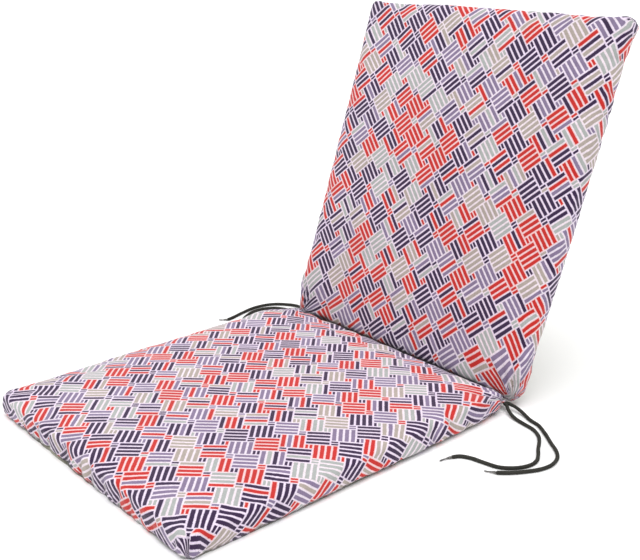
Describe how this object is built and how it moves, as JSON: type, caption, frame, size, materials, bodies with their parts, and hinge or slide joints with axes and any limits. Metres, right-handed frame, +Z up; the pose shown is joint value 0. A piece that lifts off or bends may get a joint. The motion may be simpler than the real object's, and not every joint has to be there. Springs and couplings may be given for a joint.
{
  "type": "low back chair cushion",
  "caption": "Two-panel chair cushion in printed canvas: a flat filled seat and a filled back leaning behind it, sewn together at the fold, with braided ties at the fold's ends.",
  "frame": {"origin": "on the surface that the cushion rests on, under the middle of the two panels' own box", "axes": "+X across the cushion, to the right of a person sitting on it; +Y from the seat's front edge to the back panel; +Z up"},
  "size_m": [0.6595, 0.7272, 0.5034],
  "materials": {
    "printed_canvas": "matt plain-weave canvas, printed in red, dark indigo and lavender-grey on a pale ground",
    "braided_cord": "matt braided synthetic cord",
    "sealed_cord_end": "braid melted together and drawn thin, slightly shiny"
  },
  "bodies": {
    "root": {"seat_pad": "printed_canvas", "back_pad": "printed_canvas", "hinge_web": "printed_canvas", "tie_cord_right_outer": "braided_cord", "tie_cord_right_inner": "braided_cord", "tie_cord_left_outer": "braided_cord", "tie_cord_left_inner": "braided_cord", "tie_tip_right_outer": "sealed_cord_end", "tie_tip_right_inner": "sealed_cord_end", "tie_tip_left_outer": "sealed_cord_end", "tie_tip_left_inner": "sealed_cord_end"}
  },
  "joints": []
}
